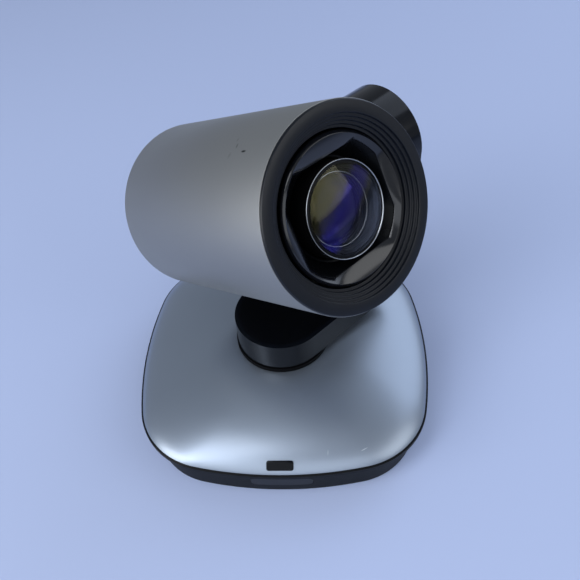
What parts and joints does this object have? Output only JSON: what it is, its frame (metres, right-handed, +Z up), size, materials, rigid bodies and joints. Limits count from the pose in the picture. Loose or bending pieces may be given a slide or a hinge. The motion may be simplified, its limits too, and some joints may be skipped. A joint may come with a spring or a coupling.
{
  "type": "pan tilt zoom conference camera",
  "caption": "Motorised pan, tilt and zoom conference camera: pillow-shaped base, L-shaped arm and a barrel head with a stepped lens bezel.",
  "frame": {"origin": "on the pan axis, in the plane that the feet stand on", "axes": "+Z up along the pan axis, base front towards -Y, stored panned 45 degrees and tilted up 29 degrees"},
  "size_m": [0.1326, 0.1288, 0.1641],
  "materials": {
    "tray_black": "satin moulded black",
    "rim_black": "gloss moulded black",
    "dome_silver": "satin silver metallic paint",
    "barrel_silver": "satin silver paint",
    "foot_rubber": "matt black rubber",
    "brass": "turned",
    "zinc_steel": "zinc plated",
    "board_green": "solder mask",
    "connector_steel": "nickel plated",
    "connector_black": "moulded black",
    "smoked_window": "smoked acrylic",
    "cast_aluminium": "as cast",
    "bronze": "sintered bronze",
    "motor_steel": "plated can",
    "gear_acetal": "white acetal",
    "arm_graphite": "satin dark grey",
    "arm_black": "matt black",
    "bezel_black": "satin black",
    "hood_black": "gloss black",
    "ring_bright": "machined, clear anodised",
    "lens_black": "black anodised",
    "optical_glass": "coated",
    "block_black": "glass-filled black",
    "sensor_dark": "cover glass"
  },
  "bodies": {
    "base": {"base_tray": "tray_black", "rim_band": "rim_black", "base_dome": "dome_silver", "base_feet": "foot_rubber", "tripod_bush": "brass", "base_weight": "zinc_steel", "main_board": "board_green", "usb_port": "connector_steel", "power_jack": "connector_black", "security_slot": "connector_steel", "receiver_window": "smoked_window", "status_window": "smoked_window", "pan_chassis": "cast_aluminium", "pan_bush": "bronze", "pan_motor": "motor_steel", "base_screws": "zinc_steel"},
    "pan_pinion": {"pan_pinion": "brass"},
    "arm": {"pan_shaft": "cast_aluminium", "pan_gear": "gear_acetal", "pan_clip": "zinc_steel", "pan_collar": "arm_black", "arm_shell": "arm_graphite", "arm_cover": "arm_black", "arm_screws": "zinc_steel", "tilt_bush": "bronze", "tilt_motor_plate": "zinc_steel", "tilt_motor": "motor_steel"},
    "tilt_pinion": {"tilt_pinion": "brass"},
    "head": {"barrel_shell": "barrel_silver", "front_bezel": "bezel_black", "lens_hood": "hood_black", "lens_ring": "ring_bright", "lens_tube": "lens_black", "front_lens": "optical_glass", "second_lens": "optical_glass", "lens_block": "block_black", "sensor_plate": "block_black", "guide_rods": "zinc_steel", "zoom_motor": "motor_steel", "focus_motor": "motor_steel", "image_sensor": "sensor_dark", "sensor_board": "board_green", "board_spacers": "brass", "video_board": "board_green", "head_chassis": "cast_aluminium", "rear_cap": "bezel_black", "tilt_boss": "arm_black", "tilt_shaft": "zinc_steel", "tilt_clip": "zinc_steel", "tilt_gear": "gear_acetal"},
    "zoom_group": {"zoom_cell": "block_black", "zoom_lens": "optical_glass"},
    "focus_group": {"focus_cell": "block_black", "focus_lens": "optical_glass"},
    "zoom_screw": {"zoom_screw": "zinc_steel"},
    "focus_screw": {"focus_screw": "zinc_steel"}
  },
  "joints": [
    {"name": "pan", "type": "hinge", "parent": "base", "child": "arm", "pos_m": [0, 0, 0.0217], "axis": [0, 0, 1], "range_deg": [-175, 85]},
    {"name": "pan_drive", "type": "hinge", "parent": "base", "child": "pan_pinion", "pos_m": [0, 0.03, 0.02], "axis": [0, 0, 1], "range_deg": [-344, 704]},
    {"name": "tilt", "type": "hinge", "parent": "arm", "child": "head", "pos_m": [0, 0, 0.1112], "axis": [-0.7071, -0.7071, 0], "range_deg": [-124, 6]},
    {"name": "tilt_drive", "type": "hinge", "parent": "arm", "child": "tilt_pinion", "pos_m": [0.03783, 0.03783, 0.0928], "axis": [-0.7071, -0.7071, 0], "range_deg": [-26, 450]},
    {"name": "zoom", "type": "slide", "parent": "head", "child": "zoom_group", "axis": [-0.6184, 0.6184, -0.4848], "range_m": [-0.006, 0.01]},
    {"name": "zoom_feed", "type": "hinge", "parent": "head", "child": "zoom_screw", "pos_m": [-0.00236, -0.02027, 0.10279], "axis": [-0.6184, 0.6184, -0.4848], "range_deg": [-1082, 1802]},
    {"name": "focus", "type": "slide", "parent": "head", "child": "focus_group", "axis": [-0.6184, 0.6184, -0.4848], "range_m": [-0.004, 0.005]},
    {"name": "focus_feed", "type": "hinge", "parent": "head", "child": "focus_screw", "pos_m": [0.00174, 0.02089, 0.11913], "axis": [-0.6184, 0.6184, -0.4848], "range_deg": [-722, 902]}
  ],
  "couplings": [
    {"joint": "pan_drive", "follows": "pan", "ratio": -4},
    {"joint": "tilt_drive", "follows": "tilt", "ratio": -3.6},
    {"joint": "zoom_feed", "follows": "zoom", "rad_per_m": 3141.6},
    {"joint": "focus_feed", "follows": "focus", "rad_per_m": 3141.6}
  ]
}
